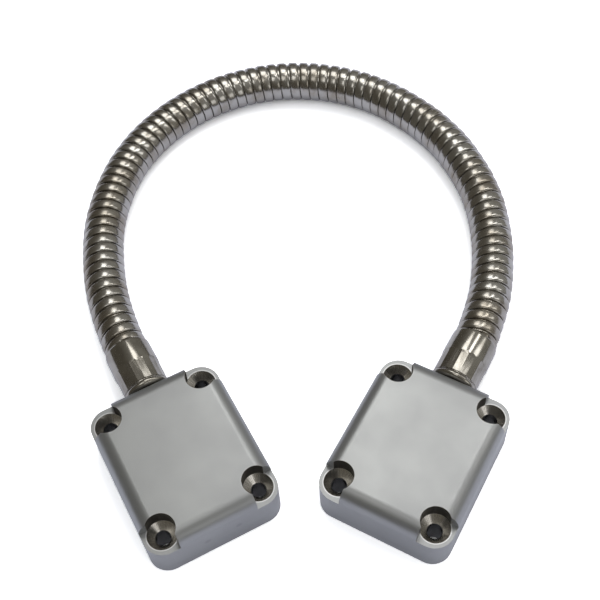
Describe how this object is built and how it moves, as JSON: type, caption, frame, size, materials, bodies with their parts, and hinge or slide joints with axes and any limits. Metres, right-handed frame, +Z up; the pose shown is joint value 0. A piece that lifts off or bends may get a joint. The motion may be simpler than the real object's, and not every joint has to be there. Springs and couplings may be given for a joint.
{
  "type": "armoured door loop",
  "caption": "Armoured door loop: a ribbed flexible metal conduit, bent in a horseshoe, with a cast end box on each end, open at the back and countersunk at the corners for screws.",
  "frame": {"origin": "middle of the whole outline, on the plane of the end boxes' open backs", "axes": "+Z up, away from the surface that the boxes are screwed to; +Y from the end boxes to the far side of the conduit's bend; +X from the left box to the right box"},
  "size_m": [0.1736, 0.2286, 0.0209],
  "materials": {
    "cast_box": "satin",
    "conduit_steel": "polished",
    "fitting_steel": "satin"
  },
  "bodies": {
    "root": {"conduit": "conduit_steel", "left_crimp_sleeve": "fitting_steel", "left_end_box": "cast_box", "left_end_fitting": "fitting_steel", "left_lock_nut": "fitting_steel", "right_crimp_sleeve": "fitting_steel", "right_end_box": "cast_box", "right_end_fitting": "fitting_steel", "right_lock_nut": "fitting_steel"}
  },
  "joints": []
}
